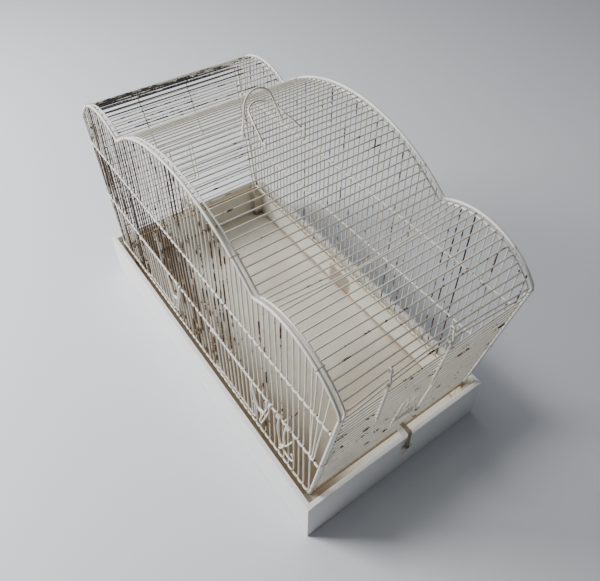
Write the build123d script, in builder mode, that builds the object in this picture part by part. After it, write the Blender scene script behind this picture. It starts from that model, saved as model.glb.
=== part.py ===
from build123d import *
import math
import os

# Wire bird cage with three domes, standing in a deep wooden tray.
# Millimetres. X runs along the cage, Y across it, Z up; the origin is the middle of the tray's underside.
# The front is the long side with the doors, at -Y. Right is the +X end and left is the -X end.

os.makedirs("parts", exist_ok=True)

# ---------------------------------------------------------------- driving dimensions
# Tray.
tray_length = 574
tray_width = 300
tray_height = 78
wall = 7
floor = 4
block_side = 16
nail_radius = 0.9
nail_length = 21
nail_head_radius = 1.6
nail_head_depth = 0.9
nail_heights = (14, 39, 64)

# Outline of the cage, right half, as (x, z).
base = (268.5, 70)
shoulder = (309, 305)
side_dome_top = (222.6, 350.6)
valley = (168, 335)
main_dome_top = 396
shoulder_bend = 14
valley_bend = 8
base_bend = 6

# Wire radii.
frame_radius = 2.0
edge_radius = 1.25
rail_radius = 1.2
bar_radius = 1.0
thin_radius = 0.9
bail_radius = 1.25

# Spacing and places of the wires.
panel_y = 134.3
edge_y = 127.5
side_pitch = 10.25
roof_pitch = 10.4
rail_heights = {"lower": 77, "middle": 170, "upper": 264}
part_gap = 0.3
hinge_gap = 0.3
joint_gap = 0.05
clip_places = (13, 28, 33, 45, 53)
clip_sheet = 1.3
clip_width = 1.6

# Front doors: side bars that each door hangs on and closes against.
doors = {"right": (5, 15), "left": (-16, -7)}
door_bottom = 82
door_top = 162
opening_bottom = 79
opening_top = 167.5
stile_inset = 4.1
hook_half_width = 2.35
greens_bays = (20.5, 23.5)

# End hatches and end rods.
hatch_hinge_bar = 42
hatch_bars = 6
hatch_half_width = 18
hatch_opening = 22
post_offset = 24.2
rod_spacing = 84
rod_radius = 1.3
rod_middle = {"right": -27, "left": 5}
rod_bottom_bar = 41
rod_top_bar = 31
post_bottom = 60
post_top = 139

# Carrying handle.
# The bails are interlaced: each has one leg inside and one leg outside the other.
bails = {
    "left": {"bar": -1, "middle": -8.2, "foot": 27.5, "crown": 14.8, "height": 48, "bend": 18.8, "lean": 11},
    "right": {"bar": 2, "middle": 2, "foot": 27.5, "crown": 15.6, "height": 62, "bend": 18.7, "lean": 71.5},
}

# Tray catches.
catch_middle = 8
catch_width = 6
catch_sheet = 1.2
knuckle = (289.8, 58)
knuckle_radius = 2.4
pin_radius = 1.25
pin_clearance = 0.05
plate_width = 14
plate_bottom = 36
strap_knuckle = 6
strap_height = 95.4
strap_end = 267
strap_lip = 1.5
ear_span = (276.5, 288)
ear_width = 9
screw_heights = (40.5, 50.5)
screw_radius = 1.0
screw_depth = 6
screw_head_radius = 2.2
screw_head_height = 1.2

# ---------------------------------------------------------------- derived dimensions
inner_length = tray_length - 2 * wall
inner_width = tray_width - 2 * wall
end_face = tray_length / 2
base_x, base_z = base
slope = math.atan2(shoulder[0] - base_x, shoulder[1] - base_z)
rail_y = panel_y + bar_radius + rail_radius
back_rail_y = panel_y - bar_radius - rail_radius
middle_rail = rail_heights["middle"]
bar_eye = 2 * bar_radius + hinge_gap
rail_eye = rail_radius + hinge_gap + thin_radius
edge_inset = edge_radius + bar_radius
roof_half = edge_y + 1.8


# ---------------------------------------------------------------- helpers
def write(piece, label):
    """Label a finished piece and write it to the STEP file of that name."""
    piece.part.label = label
    export_step(piece.part, f"parts/{label}.step")


def bent_wire(radius, bend, *points):
    """Add a round wire along the points, with rounded bends, to the part being built."""
    with BuildLine() as route:
        FilletPolyline(*points, radius=bend)
    with BuildSketch(Plane(origin=route.line @ 0, z_dir=route.line % 0)) as section:
        Circle(radius)
    sweep(sections=section.sketch, path=route.line)


def rod(radius, start, end):
    """Add a straight round wire between two points to the part being built."""
    run = Vector(*end) - Vector(*start)
    with Locations(Plane(origin=start, z_dir=run)):
        Cylinder(radius, run.length, align=(Align.CENTER, Align.CENTER, Align.MIN))


def eye(centre, axis, wire, inside):
    """Add a closed wire eye, of the given inside radius, to the part being built."""
    with Locations(Plane(origin=centre, z_dir=axis)):
        Torus(inside + wire, wire)


def cage_outline():
    """The cage's outline from the right base over the three domes to the left base."""
    with BuildLine(Plane.XZ) as outline:
        Line(base, shoulder)
        ThreePointArc(shoulder, side_dome_top, valley)
        ThreePointArc(valley, (0, main_dome_top), (-valley[0], valley[1]))
        ThreePointArc((-valley[0], valley[1]), (-side_dome_top[0], side_dome_top[1]), (-shoulder[0], shoulder[1]))
        Line((-shoulder[0], shoulder[1]), (-base_x, base_z))
        shoulders = outline.vertices().filter_by(lambda corner: abs(abs(corner.X) - shoulder[0]) < 1)
        fillet(shoulders, shoulder_bend)
        valleys = outline.vertices().filter_by(lambda corner: abs(abs(corner.X) - valley[0]) < 1)
        fillet(valleys, valley_bend)
    return outline.wire()


def inner_outline(inset):
    """The outline drawn in by inset, from the right base to the left base."""
    return outline.offset_2d(inset, side=Side.RIGHT, closed=False)


def outline_point(place):
    """The point on the outline at an arc length from the crest, positive towards +X."""
    return outline @ (0.5 - place / outline.length)


def outside(place, out):
    """The point out from the outline at an arc length from the crest, and the outline's direction there."""
    along = outline % (0.5 - place / outline.length)
    return outline_point(place) + Vector(along.Z, 0, -along.X) * out, along


def slope_reach(height):
    """How far out from the middle the cage's end wall stands at a height."""
    return base_x + (height - base_z) * math.tan(slope)


def rail_reach(height):
    """Half the length of a rail that just meets the frame wires at both ends."""
    return slope_reach(height) - frame_radius / math.cos(slope) - rail_radius * math.tan(slope) - joint_gap


def bar_span(x):
    """The lowest and highest point of the side bar at x that are just clear of the frame wire."""
    end_wall_top = shoulder[1] - shoulder_bend
    near = [spot.Z for spot in frame_spots if abs(spot.X - x) <= bar_radius]
    low = max([base_z + frame_radius] + [z for z in near if z < end_wall_top])
    high = min(z for z in near if z > end_wall_top)
    return low + joint_gap, high - joint_gap


def end_plane(side):
    """The cage's end wall as a plane: x across, y up the wall, z outward. side is 1 right, -1 left."""
    out = Vector(side * math.cos(slope), 0, -math.sin(slope))
    return Plane(origin=(side * base_x, 0, base_z), x_dir=(0, side, 0), z_dir=out)


def on_wall(side, across, up, out):
    """A point given by its place on the cage's end wall."""
    return end_plane(side).from_local_coords(Vector(across, up, out))


def cross_bars(places):
    """Add a round bar across the cage at each arc length from the crest."""
    spots = [outline_point(place) for place in places]
    with Locations(*[Location((spot.X, 0, spot.Z), (90, 0, 0)) for spot in spots]):
        Cylinder(bar_radius, 2 * roof_half)


outline = cage_outline()
half_length = outline.length / 2
bar_places = [(i + 0.5) * roof_pitch for i in range(int((half_length - 5) / roof_pitch))]
last_side_bar = int((shoulder[0] - shoulder_bend / 2) / side_pitch)
frame_inside = inner_outline(frame_radius)
frame_spots = [frame_inside @ (i / 4000) for i in range(4001)]
hinge_height = half_length - (hatch_hinge_bar + 0.5) * roof_pitch

# ---------------------------------------------------------------- tray
with BuildPart() as tray_floor:
    Box(inner_length, inner_width, floor, align=(Align.CENTER, Align.CENTER, Align.MIN))
write(tray_floor, "tray_floor")

nail_spots = [((tray_length - wall) / 2 * side, height) for side in (-1, 1) for height in nail_heights]
for side, name in ((-1, "front"), (1, "back")):
    outer = Plane(origin=(0, side * tray_width / 2, 0), x_dir=(-side, 0, 0), z_dir=(0, side, 0))
    with BuildPart() as long_wall:
        with Locations((0, side * (tray_width - wall) / 2, 0)):
            Box(tray_length, wall, tray_height, align=(Align.CENTER, Align.CENTER, Align.MIN))
        chamfer(long_wall.faces().sort_by(Axis.Z)[-1].edges().filter_by(Axis.X), 0.6)
        with BuildSketch(outer):
            with Locations(*nail_spots):
                Circle(nail_radius)
        extrude(amount=-wall, mode=Mode.SUBTRACT)
        with BuildSketch(outer):
            with Locations(*nail_spots):
                Circle(nail_head_radius)
        extrude(amount=-nail_head_depth, mode=Mode.SUBTRACT)
    write(long_wall, f"tray_wall_{name}")

screw_spots = [(0, height) for height in screw_heights]
for side, name in ((1, "right"), (-1, "left")):
    outer = Plane(origin=(side * end_face, side * catch_middle, 0), x_dir=(0, side, 0), z_dir=(side, 0, 0))
    with BuildPart() as end_wall:
        with Locations((side * (end_face - wall / 2), 0, 0)):
            Box(wall, inner_width, tray_height, align=(Align.CENTER, Align.CENTER, Align.MIN))
        chamfer(end_wall.faces().sort_by(Axis.Z)[-1].edges().filter_by(Axis.Y), 0.6)
        for end in (-1, 1):
            with BuildSketch(Plane(origin=(side * (end_face - wall / 2), end * inner_width / 2, 0),
                                   x_dir=(-end, 0, 0), z_dir=(0, end, 0))):
                with Locations(*[(0, height) for height in nail_heights]):
                    Circle(nail_radius)
            extrude(amount=-(nail_length - wall), mode=Mode.SUBTRACT)
        with BuildSketch(outer):
            with Locations(*screw_spots):
                Circle(screw_radius)
        extrude(amount=-screw_depth, mode=Mode.SUBTRACT)
    write(end_wall, f"tray_wall_{name}")

with BuildPart() as tray_nails:
    for side in (-1, 1):
        outer = Plane(origin=(0, side * tray_width / 2, 0), x_dir=(-side, 0, 0), z_dir=(0, side, 0))
        with BuildSketch(outer):
            with Locations(*nail_spots):
                Circle(nail_radius)
        extrude(amount=-nail_length)
        with BuildSketch(outer):
            with Locations(*nail_spots):
                Circle(nail_head_radius)
        extrude(amount=-nail_head_depth)
write(tray_nails, "tray_nails")

with BuildPart() as tray_corner_blocks:
    block_top = base_z - frame_radius
    block_x = (inner_length - block_side) / 2
    block_y = (inner_width - block_side) / 2
    with BuildSketch(Plane.XY.offset(floor)):
        with GridLocations(2 * block_x, 2 * block_y, 2, 2):
            Rectangle(block_side, block_side)
    extrude(amount=block_top - floor)
write(tray_corner_blocks, "tray_corner_blocks")

# ---------------------------------------------------------------- tray catches
# Each catch is a bent sheet strap on a plate hinge; its flat top reaches in over one of the low end bars.
knuckle_x, knuckle_z = knuckle
lug = (plate_width - strap_knuckle) / 2 - part_gap
lug_middle = (plate_width - lug) / 2
plate_x = end_face + catch_sheet / 2
plate_top = knuckle_z - knuckle_radius - 2 * part_gap
strap_start = knuckle_z + knuckle_radius + part_gap
for side, name in ((1, "right"), (-1, "left")):
    section = Plane(origin=(0, side * catch_middle, 0), x_dir=(side, 0, 0), z_dir=(0, -side, 0))
    plate_face = Plane(origin=(side * (end_face + catch_sheet), side * catch_middle, 0),
                       x_dir=(0, side, 0), z_dir=(side, 0, 0))

    with BuildPart() as catch_plate:
        with BuildSketch(section):
            with Locations((plate_x, plate_bottom)):
                Rectangle(catch_sheet, plate_top - plate_bottom, align=(Align.CENTER, Align.MIN))
        extrude(amount=plate_width / 2, both=True)
        for shift in (-lug_middle, lug_middle):
            with BuildSketch(section.offset(shift)):
                with Locations((knuckle_x, knuckle_z)):
                    Circle(knuckle_radius)
                with Locations((plate_x, knuckle_z)):
                    Rectangle(catch_sheet, knuckle_z - plate_top + catch_sheet, align=(Align.CENTER, Align.MAX))
                with Locations((knuckle_x, knuckle_z)):
                    Circle(pin_radius + pin_clearance, mode=Mode.SUBTRACT)
            extrude(amount=lug / 2, both=True)
        with BuildSketch(plate_face):
            with Locations(*screw_spots):
                Circle(screw_radius)
        extrude(amount=-catch_sheet, mode=Mode.SUBTRACT)
    write(catch_plate, f"catch_plate_{name}")

    with BuildPart() as catch_pin:
        with BuildSketch(section):
            with Locations((knuckle_x, knuckle_z)):
                Circle(pin_radius)
        extrude(amount=plate_width / 2 + part_gap, both=True)
    write(catch_pin, f"catch_pin_{name}")

    with BuildPart() as tray_catch:
        with BuildSketch(section):
            with Locations((knuckle_x, knuckle_z)):
                Circle(knuckle_radius)
            with Locations((knuckle_x, strap_start + catch_sheet)):
                Rectangle(catch_sheet, knuckle_radius, align=(Align.CENTER, Align.MAX))
            with Locations((knuckle_x, knuckle_z)):
                Circle(pin_radius + pin_clearance, mode=Mode.SUBTRACT)
        extrude(amount=strap_knuckle / 2, both=True)
        with BuildSketch(section):
            with BuildLine():
                FilletPolyline((knuckle_x, strap_start), (knuckle_x, strap_height), (strap_end, strap_height),
                               (strap_end - strap_lip, strap_height - strap_lip), radius=1.6)
            trace(line_width=catch_sheet)
        extrude(amount=catch_width / 2, both=True)
        with BuildSketch(section.offset((catch_width + ear_width) / 2 - catch_sheet)):
            with BuildLine():
                Line((ear_span[1], strap_height), (ear_span[0], strap_height))
            trace(line_width=catch_sheet)
        extrude(amount=ear_width / 2, both=True)
    write(tray_catch, f"tray_catch_{name}")

with BuildPart() as catch_screws:
    for side in (-1, 1):
        plate_face = Plane(origin=(side * (end_face + catch_sheet), side * catch_middle, 0),
                           x_dir=(0, side, 0), z_dir=(side, 0, 0))
        with BuildSketch(plate_face):
            with Locations(*screw_spots):
                Circle(screw_radius)
        extrude(amount=-(screw_depth + catch_sheet))
        with BuildSketch(plate_face):
            with Locations(*screw_spots):
                Circle(screw_head_radius)
        extrude(amount=screw_head_height, taper=25)
write(catch_screws, "catch_screws")

# ---------------------------------------------------------------- cage frames and edges
for side, name in ((-1, "front"), (1, "back")):
    with BuildPart() as frame:
        with BuildLine(Plane.XZ.offset(-side * panel_y)) as loop:
            add(outline.moved(Location((0, side * panel_y, 0))))
            Line((joint_gap, base_z), base)
            Line((-base_x, base_z), (-joint_gap, base_z))
            feet = loop.vertices().filter_by(lambda corner: abs(abs(corner.X) - base_x) < 1)
            fillet(feet, base_bend)
        with BuildSketch(Plane(origin=(joint_gap, side * panel_y, base_z), z_dir=(1, 0, 0))):
            Circle(frame_radius)
        sweep()
    write(frame, f"cage_frame_{name}")

    with BuildPart() as edge:
        with BuildLine(Plane.XZ.offset(-side * edge_y)) as run:
            add(inner_outline(edge_inset).moved(Location((0, side * edge_y, 0))))
        with BuildSketch(Plane(origin=run.line @ 0, z_dir=run.line % 0)):
            Circle(edge_radius)
        sweep()
        split(bisect_by=Plane.XY.offset(base_z + frame_radius + joint_gap), keep=Keep.TOP)
    write(edge, f"roof_edge_{name}")

for side, name in ((1, "right"), (-1, "left")):
    reach = panel_y - frame_radius - joint_gap
    with BuildPart() as base_wire:
        rod(frame_radius, (side * base_x, -reach, base_z), (side * base_x, reach, base_z))
    write(base_wire, f"base_wire_{name}")

# ---------------------------------------------------------------- long panels
for side, name in ((-1, "front"), (1, "back")):
    with BuildPart() as bars:
        for i in range(-last_side_bar, last_side_bar + 1):
            low, high = bar_span(i * side_pitch)
            rod(bar_radius, (i * side_pitch, side * panel_y, low), (i * side_pitch, side * panel_y, high))
        if name == "front":
            for hung_on, closes_on in doors.values():
                with Locations(((hung_on + closes_on) / 2 * side_pitch, -panel_y, opening_bottom)):
                    Box((closes_on - hung_on - 1) * side_pitch, 4 * bar_radius, opening_top - opening_bottom,
                        align=(Align.CENTER, Align.CENTER, Align.MIN), mode=Mode.SUBTRACT)
    write(bars, f"side_bars_{name}")

    # The rails run outside the front bars and inside the back ones.
    depth = -rail_y if name == "front" else back_rail_y
    for place, height in rail_heights.items():
        reach = rail_reach(height)
        with BuildPart() as rail:
            rod(rail_radius, (-reach, depth, height), (reach, depth, height))
        write(rail, f"rail_{place}_{name}")

# ---------------------------------------------------------------- roof and end bars
end_wall_rise = math.dist(base, shoulder)
main_dome = [place for place in bar_places if outline_point(place).X < valley[0]]
end_wall = [place for place in bar_places if half_length - place < end_wall_rise]
side_dome = [place for place in bar_places if place not in main_dome and place not in end_wall]

with BuildPart() as main_dome_bars:
    cross_bars(main_dome + [-place for place in main_dome])
write(main_dome_bars, "main_dome_bars")

for side, name in ((1, "right"), (-1, "left")):
    with BuildPart() as dome_bars:
        cross_bars([side * place for place in side_dome])
    write(dome_bars, f"{name}_dome_bars")

    with BuildPart() as end_bars:
        cross_bars([side * place for place in end_wall])
        with BuildSketch(end_plane(side)):
            with Locations((0, hinge_height - (hatch_bars + 1) / 2 * roof_pitch)):
                Rectangle(2 * hatch_opening, hatch_bars * roof_pitch)
        extrude(amount=2 * bar_radius, both=True, mode=Mode.SUBTRACT)
    write(end_bars, f"{name}_end_bars")

# ---------------------------------------------------------------- end rods, hatches and their posts
# Two rods on each end run up the wall and over the shoulder, lying on the bars.
hatch_foot = hinge_height - (hatch_bars + 0.5) * roof_pitch
for side, name in ((1, "right"), (-1, "left")):
    with BuildPart() as end_rods:
        foot, up = outside(side * bar_places[rod_bottom_bar], bar_radius + rod_radius)
        head, over = outside(side * bar_places[rod_top_bar], bar_radius + rod_radius)
        knee = foot + up * ((head - foot).cross(over).Y / up.cross(over).Y)
        for across in (rod_middle[name] - rod_spacing / 2, rod_middle[name] + rod_spacing / 2):
            bent_wire(rod_radius, shoulder_bend, *[spot + Vector(0, across, 0) for spot in (foot, knee, head)])
    write(end_rods, f"{name}_end_rods")

    with BuildPart() as hatch_posts:
        out = bar_radius + thin_radius
        for across in (-post_offset, post_offset):
            rod(thin_radius, on_wall(side, across, post_bottom, out), on_wall(side, across, post_top, out))
    write(hatch_posts, f"{name}_hatch_posts")

    with BuildPart() as hatch_frame:
        top = hinge_height - bar_eye
        bent_wire(bar_radius, 3,
                  on_wall(side, -hatch_half_width, top, 0), on_wall(side, -hatch_half_width, hatch_foot, 0),
                  on_wall(side, hatch_half_width, hatch_foot, 0), on_wall(side, hatch_half_width, top, 0))
        for across in (-hatch_half_width, hatch_half_width):
            eye(on_wall(side, across, hinge_height, 0), (0, 1, 0), bar_radius, bar_radius + hinge_gap)
    write(hatch_frame, f"{name}_hatch_frame")

    with BuildPart() as hatch_wires:
        reach = hatch_half_width - bar_radius
        for i in range(1, hatch_bars + 1):
            height = hinge_height - i * roof_pitch
            rod(bar_radius, on_wall(side, -reach, height, 0), on_wall(side, reach, height, 0))
    write(hatch_wires, f"{name}_hatch_bars")

    with BuildPart() as hatch_pull:
        out = bar_radius + thin_radius
        top = hinge_height - 1.5 * roof_pitch
        bent_wire(thin_radius, 2.2,
                  on_wall(side, -13, top, out), on_wall(side, -13, top - 8, out), on_wall(side, -12, top - 14, 9),
                  on_wall(side, -4, top - 14, 9), on_wall(side, -3, top - 8, out), on_wall(side, -3, top, out))
    write(hatch_pull, f"{name}_hatch_pull")

# ---------------------------------------------------------------- clips that tie the roof to the frames
clip_inside = frame_radius + joint_gap
with BuildPart() as panel_clips:
    for place in [sign * i * roof_pitch for i in clip_places for sign in (-1, 1)]:
        spot = outline_point(place)
        along = outline % (0.5 - place / outline.length)
        inward = Vector(-along.Z, 0, along.X)
        for side in (-1, 1):
            to_edge = Vector(0, -side * (panel_y - edge_y), 0) + inward * edge_inset
            middle = Vector(spot.X, side * panel_y, spot.Z) + to_edge / 2
            with BuildSketch(Plane(origin=middle, x_dir=to_edge, z_dir=along)):
                SlotCenterToCenter(to_edge.length, 2 * (clip_inside + clip_sheet))
                SlotCenterToCenter(to_edge.length, 2 * clip_inside, mode=Mode.SUBTRACT)
            extrude(amount=clip_width / 2, both=True)
write(panel_clips, "panel_clips")

# ---------------------------------------------------------------- front doors and their latch hooks
eye_front = -rail_y - rail_eye
stile_front = -panel_y - bar_radius - thin_radius
tongue_y = stile_front - 2 * part_gap
for name, (hung_on, closes_on) in doors.items():
    hinge_x = hung_on * side_pitch
    free_x = closes_on * side_pitch - stile_inset
    with BuildPart() as door_frame:
        bent_wire(bar_radius, 3,
                  (hinge_x + bar_eye, -panel_y, door_top), (free_x, -panel_y, door_top),
                  (free_x, -panel_y, door_bottom), (hinge_x + bar_eye, -panel_y, door_bottom))
        for height in (door_bottom, door_top):
            eye((hinge_x, -panel_y, height), (0, 0, 1), bar_radius, bar_radius + hinge_gap)
    write(door_frame, f"{name}_door_frame")

    with BuildPart() as door_wires:
        with BuildSketch(Plane.XY.offset(door_bottom + bar_radius)):
            with Locations(*[(i * side_pitch, -panel_y) for i in range(hung_on + 1, closes_on)]):
                Circle(bar_radius)
        extrude(amount=door_top - door_bottom - 2 * bar_radius)
    write(door_wires, f"{name}_door_bars")

    with BuildPart() as door_tongue:
        bent_wire(thin_radius, 1.5,
                  (free_x, stile_front, 127), (free_x, tongue_y, 122), (free_x + 14, tongue_y, 114),
                  (free_x + 12.5, tongue_y, 106), (free_x, tongue_y, 113), (free_x, stile_front, 108))
    write(door_tongue, f"{name}_door_tongue")

    hook_x = (closes_on + 3.5) * side_pitch
    with BuildPart() as latch_hook:
        bent_wire(thin_radius, 2.2,
                  (hook_x - hook_half_width, eye_front, middle_rail), (hook_x - hook_half_width, eye_front, 158),
                  (hook_x - 22, eye_front, 104), (hook_x - 17.5, eye_front, 102),
                  (hook_x + hook_half_width, eye_front, 157), (hook_x + hook_half_width, eye_front, middle_rail))
        for x in (hook_x - hook_half_width, hook_x + hook_half_width):
            eye((x, -rail_y, middle_rail), (1, 0, 0), thin_radius, rail_radius + hinge_gap)
    write(latch_hook, f"{name}_latch_hook")

# ---------------------------------------------------------------- greens clip on the middle rail
clip_left, clip_right = [bay * side_pitch for bay in greens_bays]
with BuildPart() as greens_clip:
    bent_wire(thin_radius, 4,
              (clip_left, eye_front, middle_rail), (clip_left - 2, eye_front - 2, 140),
              (clip_left + 6, eye_front - 1, 108), (clip_right - 8, eye_front - 1, 101),
              (clip_right + 2, eye_front - 2, 136), (clip_right, eye_front, middle_rail))
    for x in (clip_left, clip_right):
        eye((x, -rail_y, middle_rail), (1, 0, 0), thin_radius, rail_radius + hinge_gap)
write(greens_clip, "greens_clip")

# ---------------------------------------------------------------- carrying bails
for name, bail in bails.items():
    hinge = outline_point((bail["bar"] + 0.5) * roof_pitch)
    lean = math.radians(bail["lean"])
    face = Plane(origin=(hinge.X, bail["middle"], hinge.Z), x_dir=(0, 1, 0),
                 z_dir=(math.cos(lean), 0, math.sin(lean)))
    foot = bar_radius + hinge_gap + bail_radius
    corners = [(-bail["foot"], foot), (-bail["crown"], bail["height"]), (bail["crown"], bail["height"]),
               (bail["foot"], foot)]
    with BuildPart() as handle_bail:
        bent_wire(bail_radius, bail["bend"], *[face.from_local_coords(corner) for corner in corners])
        for end in (-bail["foot"], bail["foot"]):
            eye(face.from_local_coords((end, 0)), (0, 1, 0), bail_radius, bar_radius + hinge_gap)
    write(handle_bail, f"handle_bail_{name}")
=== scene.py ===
"""Looks of the domed wire bird cage: painted, chipped wires in a deep painted tray.

Lengths in this script are millimetres until a mesh is made, in the same frame as the solids.
"""
import math
import random

import bpy
import numpy as np
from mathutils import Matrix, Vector


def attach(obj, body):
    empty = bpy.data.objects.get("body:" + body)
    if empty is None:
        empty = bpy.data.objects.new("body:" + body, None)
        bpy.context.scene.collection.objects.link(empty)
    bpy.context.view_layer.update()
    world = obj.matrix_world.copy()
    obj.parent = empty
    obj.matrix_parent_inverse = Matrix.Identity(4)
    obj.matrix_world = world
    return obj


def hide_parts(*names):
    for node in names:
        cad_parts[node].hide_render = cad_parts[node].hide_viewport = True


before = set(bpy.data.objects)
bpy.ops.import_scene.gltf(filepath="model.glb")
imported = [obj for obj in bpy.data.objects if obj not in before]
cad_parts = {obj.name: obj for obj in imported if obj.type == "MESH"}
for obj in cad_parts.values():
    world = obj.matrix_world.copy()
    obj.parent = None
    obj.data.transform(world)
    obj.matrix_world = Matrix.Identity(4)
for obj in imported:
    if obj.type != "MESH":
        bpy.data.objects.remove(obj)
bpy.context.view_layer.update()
chance = random.Random(11)

# ---------------------------------------------------------------- dimensions shared with the solids
BASE = np.array([268.5, 70.0])
SHOULDER = np.array([309.0, 305.0])
SIDE_TOP = np.array([222.6, 350.6])
VALLEY = np.array([168.0, 335.0])
MAIN_TOP = 396.0
SHOULDER_BEND = 14.0
VALLEY_BEND = 8.0
BASE_BEND = 6.0
FRAME_R = 2.0
EDGE_R = 1.25
RAIL_R = 1.2
BAR_R = 1.0
THIN_R = 0.9
HOOK_R = 1.1
ROD_R = 1.3
BAIL_R = 1.25
HINGE_GAP = 0.3
PANEL_Y = 134.3
EDGE_Y = 127.5
SIDE_PITCH = 10.25
ROOF_PITCH = 10.4
RAIL_Y = PANEL_Y + BAR_R + RAIL_R
BACK_RAIL_Y = PANEL_Y - BAR_R - RAIL_R
RAILS = {"lower": 77.0, "middle": 170.0, "upper": 264.0}
MIDDLE_RAIL = RAILS["middle"]
EDGE_INSET = 1.3
SLOPE = math.atan2(SHOULDER[0] - BASE[0], SHOULDER[1] - BASE[1])
DOORS = {"right": (5, 15), "left": (-16, -7)}
DOOR_Z = (82.0, 162.0)
OPENING_Z = (79.0, 167.5)
STILE_INSET = 4.1
CRIMP = 1.4
RAIL_DIP = 1.3
FAN_FEET = (267.5, 271.0, 274.5)
FAN_LEAN = 3.0
HATCH_HINGE_BAR = 42
HATCH_BARS = 6
HATCH_HALF = 18.0
HATCH_OPENING = 22.0
POST_OFFSET = 24.2
ROD_MIDDLE = {"right": -27.0, "left": 5.0}
ROD_SPACING = 84.0
ROD_BARS = (41, 31)
ROD_LEAN = 9.0
PULL_DROP = 1.5
FRAME_SEEN_R = 1.88
FRAME_FEET = 12.0
FRAME_BUTT = 0.6
EDGE_FEET = 3.2
RAIL_SEEN_R = 1.4
CRIMP_LENGTH = 3.2
ROD_LEAN_END = 0.86
ROD_OUT = 1.9
ROD_WEAVE = 0.5
EYE_REACH = 2 * BAR_R + HINGE_GAP
DENTS = {1: (4.0, 1.5), 2: (7.5, 0.0), 3: (5.0, -2.5)}
DENT_MIDDLE = -18
MOST_WORN = (4, 5, 6, 7)
WALL_SAG = 1.5
TIE_BARS = (13, 28, 33, 45, 53)
TIE_R = 0.32
TIE_REACH = 2.25
TIP_LENGTH = 0.35
TIP_NARROWING = 0.72
BEAD_ROWS = 7
BEAD_SIDES = 8


# ---------------------------------------------------------------- the cage's outline
def circle_through(a, b, c):
    """Centre and radius of the circle through three points."""
    rows = np.array([b - a, c - a]) * 2
    centre = np.linalg.solve(rows, [b @ b - a @ a, c @ c - a @ a])
    return centre, np.linalg.norm(a - centre)


def arc_points(centre, radius, start, end, step=0.8):
    """Points along an arc from angle start to angle end, in radians."""
    count = max(3, int(abs(end - start) * radius / step))
    angles = np.linspace(start, end, count)
    return np.column_stack([centre[0] + radius * np.cos(angles), centre[1] + radius * np.sin(angles)])


def angle_of(point, centre):
    return math.atan2(point[1] - centre[1], point[0] - centre[0])


def two_circle_point(c1, r1, c2, r2):
    """The higher of the two points at distance r1 from c1 and r2 from c2."""
    gap = c2 - c1
    length = np.linalg.norm(gap)
    along = (length ** 2 + r1 ** 2 - r2 ** 2) / (2 * length)
    rise = math.sqrt(r1 ** 2 - along ** 2)
    normal = np.array([-gap[1], gap[0]]) / length
    spots = [c1 + gap / length * along + normal * rise * sign for sign in (-1, 1)]
    return max(spots, key=lambda spot: spot[1])


def right_outline():
    """Points from the crest over the right dome and down to the right base."""
    main_c, main_r = circle_through(VALLEY, np.array([0, MAIN_TOP]), VALLEY * [-1, 1])
    side_c, side_r = circle_through(SHOULDER, SIDE_TOP, VALLEY)
    dip = two_circle_point(main_c, main_r + VALLEY_BEND, side_c, side_r + VALLEY_BEND)
    up = np.array([math.sin(SLOPE), math.cos(SLOPE)])
    inward = np.array([-up[1], up[0]])
    start = BASE + inward * SHOULDER_BEND - side_c
    reach = side_r - SHOULDER_BEND
    rise = -start @ up + math.sqrt((start @ up) ** 2 - start @ start + reach ** 2)
    knee = side_c + start + up * rise
    dip_side = angle_of(side_c, dip)
    return np.vstack([
        arc_points(main_c, main_r, math.pi / 2, angle_of(dip, main_c)),
        arc_points(dip, VALLEY_BEND, angle_of(main_c, dip), dip_side),
        arc_points(side_c, side_r, angle_of(dip, side_c), angle_of(knee, side_c)),
        arc_points(knee, SHOULDER_BEND, angle_of(knee, side_c), -SLOPE),
        np.linspace(knee - inward * SHOULDER_BEND, BASE, 200),
    ])


half = right_outline()
keep = np.insert(np.linalg.norm(np.diff(half, axis=0), axis=1) > 1e-6, 0, True)
half = half[keep]
outline = np.vstack([half[::-1], half[1:] * [-1, 1]])[::-1]
steps = np.insert(np.cumsum(np.linalg.norm(np.diff(outline, axis=0), axis=1)), 0, 0)
HALF_LENGTH = steps[-1] / 2
places = steps - HALF_LENGTH
slopes = np.gradient(outline, places, axis=0)
slopes /= np.linalg.norm(slopes, axis=1)[:, None]


def on_outline(place, inset=0.0):
    """(x, z) on the outline at an arc length from the crest, drawn in by inset."""
    point = np.array([np.interp(place, places, outline[:, k]) for k in (0, 1)])
    return point + inset * inward_at(place)


def inward_at(place):
    """The unit vector (x, z) into the cage at an arc length from the crest."""
    tangent = np.array([np.interp(place, places, slopes[:, k]) for k in (0, 1)])
    tangent /= np.linalg.norm(tangent)
    return np.array([tangent[1], -tangent[0]])


def outline_run(inset, first, last, step=2.0):
    """(x, z) points along the outline between two arc lengths."""
    return np.array([on_outline(place, inset) for place in np.arange(first, last, step)])


def on_wall(side, across, up, out):
    """A point on an end wall: across it, up it and out from it. side is 1 right, -1 left."""
    return np.array([side * (BASE[0] + up * math.sin(SLOPE) + out * math.cos(SLOPE)),
                     side * across,
                     BASE[1] + up * math.cos(SLOPE) - out * math.sin(SLOPE)])


BAR_PLACES = [(i + 0.5) * ROOF_PITCH for i in range(int((HALF_LENGTH - 5) / ROOF_PITCH))]
HINGE_RISE = HALF_LENGTH - (HATCH_HINGE_BAR + 0.5) * ROOF_PITCH
END_WALL_RISE = np.linalg.norm(SHOULDER - BASE)


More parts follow.
